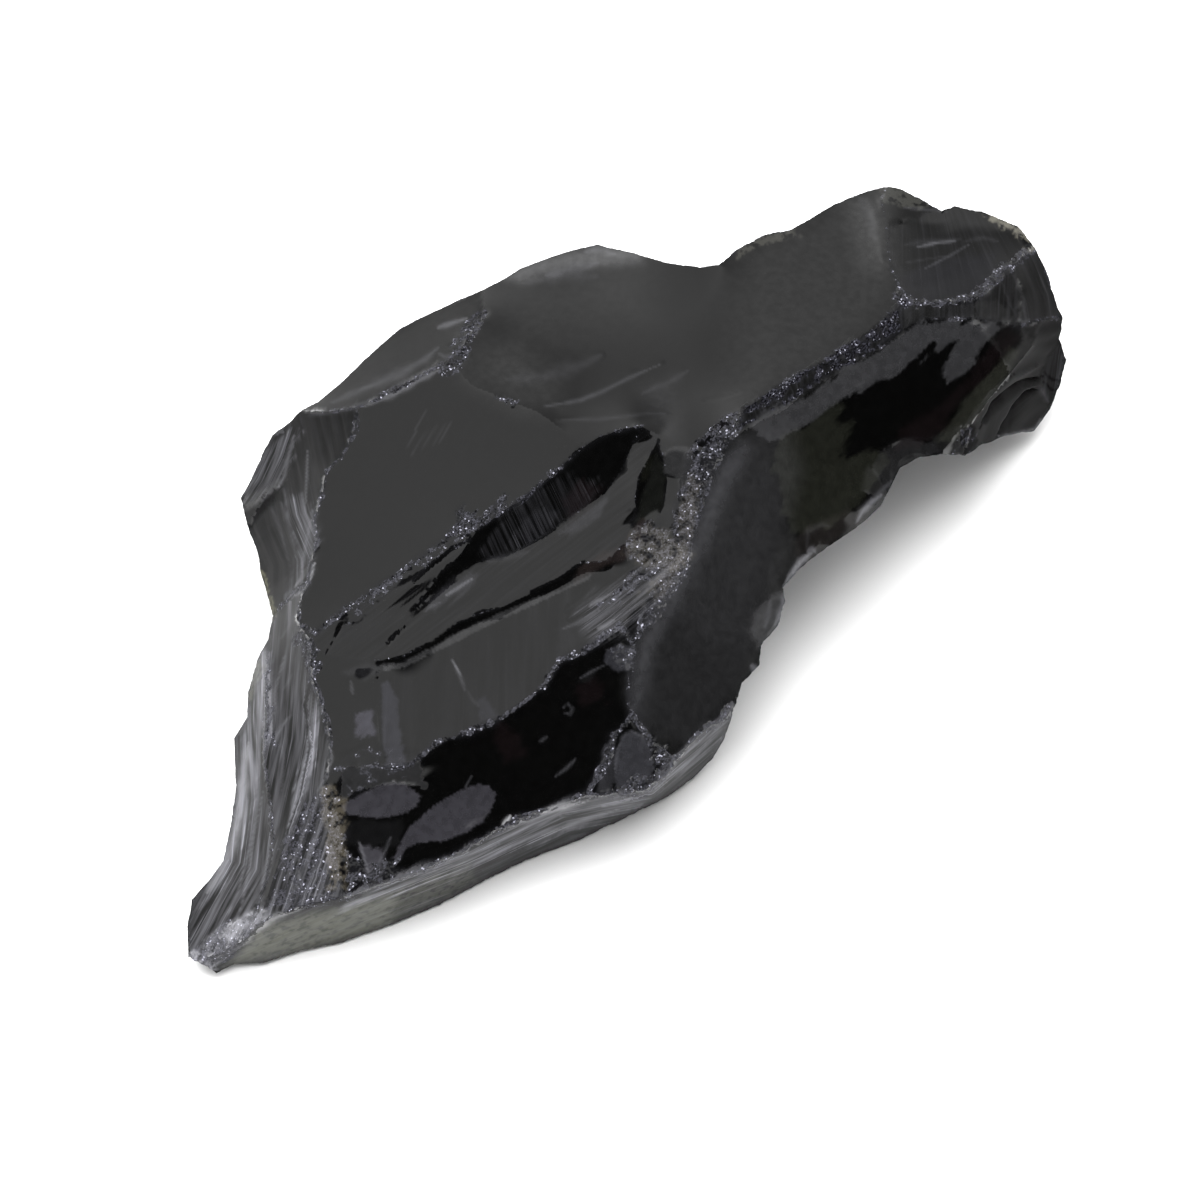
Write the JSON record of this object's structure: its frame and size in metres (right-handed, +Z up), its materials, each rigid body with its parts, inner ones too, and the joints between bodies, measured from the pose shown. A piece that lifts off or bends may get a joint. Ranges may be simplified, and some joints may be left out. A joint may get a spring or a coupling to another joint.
{
  "type": "raw black onyx stone",
  "caption": "Palm-size raw black stone lying on its flat break, long and wedge-like, with glassy shell-shaped breaks, a lens-shaped slot and crushed ridges.",
  "frame": {"origin": "on the table under the middle of the stone's box, in the plane of the flat resting break", "axes": "+X along the long way of the stone from the thin tip to the blunt end, +Z up from the table, +Y towards the plain steep back"},
  "size_m": [0.0862, 0.0412, 0.0237],
  "materials": {
    "onyx": "glassy black break with crushed grey ridges"
  },
  "bodies": {
    "root": {"onyx_stone": "onyx"}
  },
  "joints": []
}
